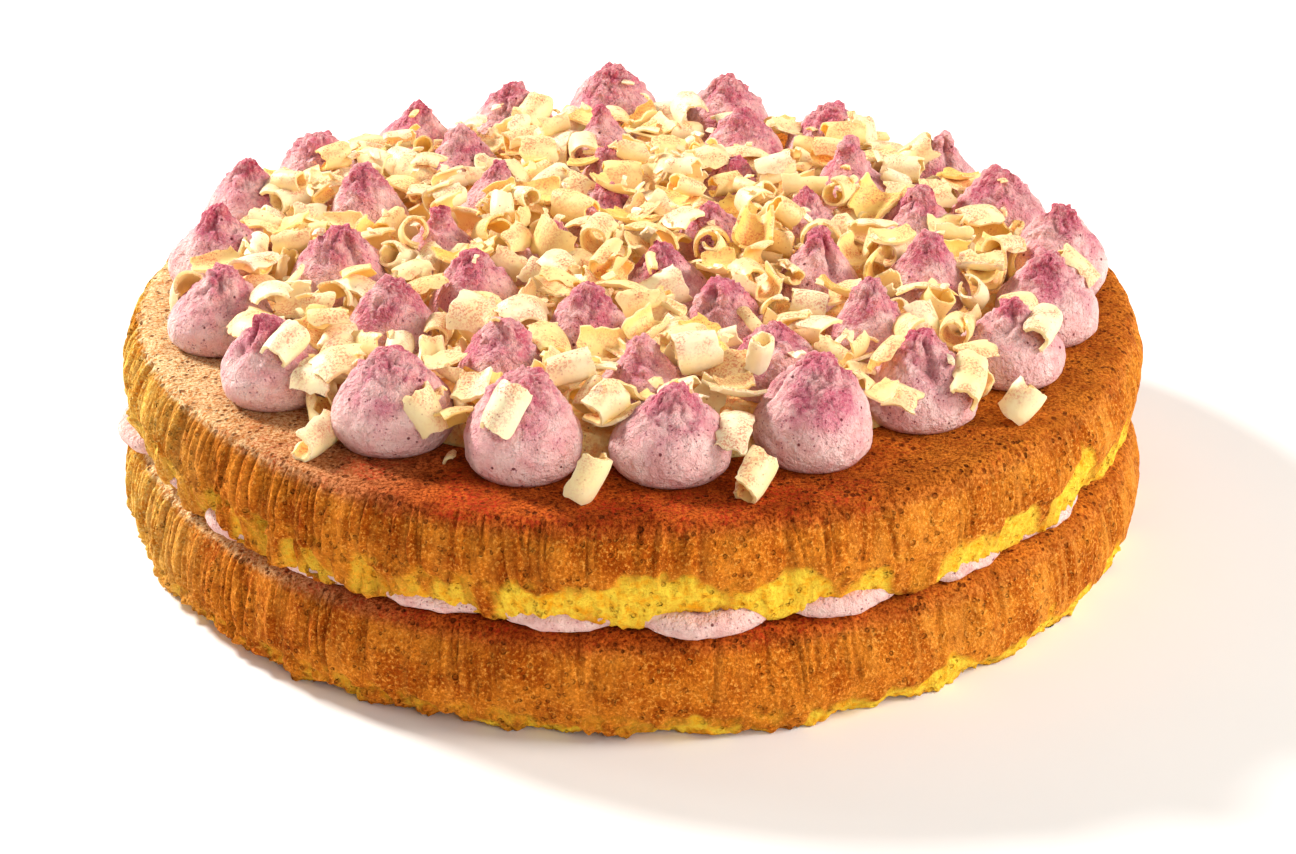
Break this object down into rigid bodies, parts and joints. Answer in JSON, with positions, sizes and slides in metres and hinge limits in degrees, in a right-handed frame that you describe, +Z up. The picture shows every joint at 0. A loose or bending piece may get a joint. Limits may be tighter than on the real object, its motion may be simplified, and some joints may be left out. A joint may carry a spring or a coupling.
{
  "type": "strawberry cream cake",
  "caption": "Round two-layer sponge cake with strawberry cream filling, piped pink cream dollops and white chocolate curls on top.",
  "frame": {"origin": "middle of the underside, on the surface the cake stands on", "axes": "+Z up through the middle of the cake; -Y is the front"},
  "size_m": [0.2399, 0.2401, 0.0719],
  "materials": {
    "sponge": "golden-brown baked crust, pleated sides, finely pitted, dusted with pink powder",
    "filling_cream": "soft whipped cream, pale pink",
    "strawberry_cream": "soft whipped cream, pink, rough darker tips with berry powder",
    "white_chocolate": "satin ivory white chocolate, speckled with berry powder"
  },
  "bodies": {
    "root": {"sponge_bottom": "sponge", "cream_filling": "filling_cream", "sponge_top": "sponge", "dollop_ring1_01": "strawberry_cream", "dollop_ring1_02": "strawberry_cream", "dollop_ring1_03": "strawberry_cream", "dollop_ring1_04": "strawberry_cream", "dollop_ring1_05": "strawberry_cream", "dollop_ring1_06": "strawberry_cream", "dollop_ring1_07": "strawberry_cream", "dollop_ring1_08": "strawberry_cream", "dollop_ring1_09": "strawberry_cream", "dollop_ring1_10": "strawberry_cream", "dollop_ring1_11": "strawberry_cream", "dollop_ring1_12": "strawberry_cream", "dollop_ring1_13": "strawberry_cream", "dollop_ring1_14": "strawberry_cream", "dollop_ring1_15": "strawberry_cream", "dollop_ring1_16": "strawberry_cream", "dollop_ring1_17": "strawberry_cream", "dollop_ring1_18": "strawberry_cream", "dollop_ring1_19": "strawberry_cream", "dollop_ring1_20": "strawberry_cream", "dollop_ring2_01": "strawberry_cream", "dollop_ring2_02": "strawberry_cream", "dollop_ring2_03": "strawberry_cream", "dollop_ring2_04": "strawberry_cream", "dollop_ring2_05": "strawberry_cream", "dollop_ring2_06": "strawberry_cream", "dollop_ring2_07": "strawberry_cream", "dollop_ring2_08": "strawberry_cream", "dollop_ring2_09": "strawberry_cream", "dollop_ring2_10": "strawberry_cream", "dollop_ring2_11": "strawberry_cream", "dollop_ring2_12": "strawberry_cream", "dollop_ring2_13": "strawberry_cream", "dollop_ring3_01": "strawberry_cream", "dollop_ring3_02": "strawberry_cream", "dollop_ring3_03": "strawberry_cream", "dollop_ring3_04": "strawberry_cream", "dollop_ring3_05": "strawberry_cream", "dollop_ring3_06": "strawberry_cream", "dollop_ring3_07": "strawberry_cream", "dollop_ring3_08": "strawberry_cream", "dollop_ring3_09": "strawberry_cream", "dollop_ring4_01": "strawberry_cream", "dollop_ring4_02": "strawberry_cream", "dollop_ring4_03": "strawberry_cream", "dollop_ring4_04": "strawberry_cream", "chocolate_curls": "white_chocolate"}
  },
  "joints": []
}
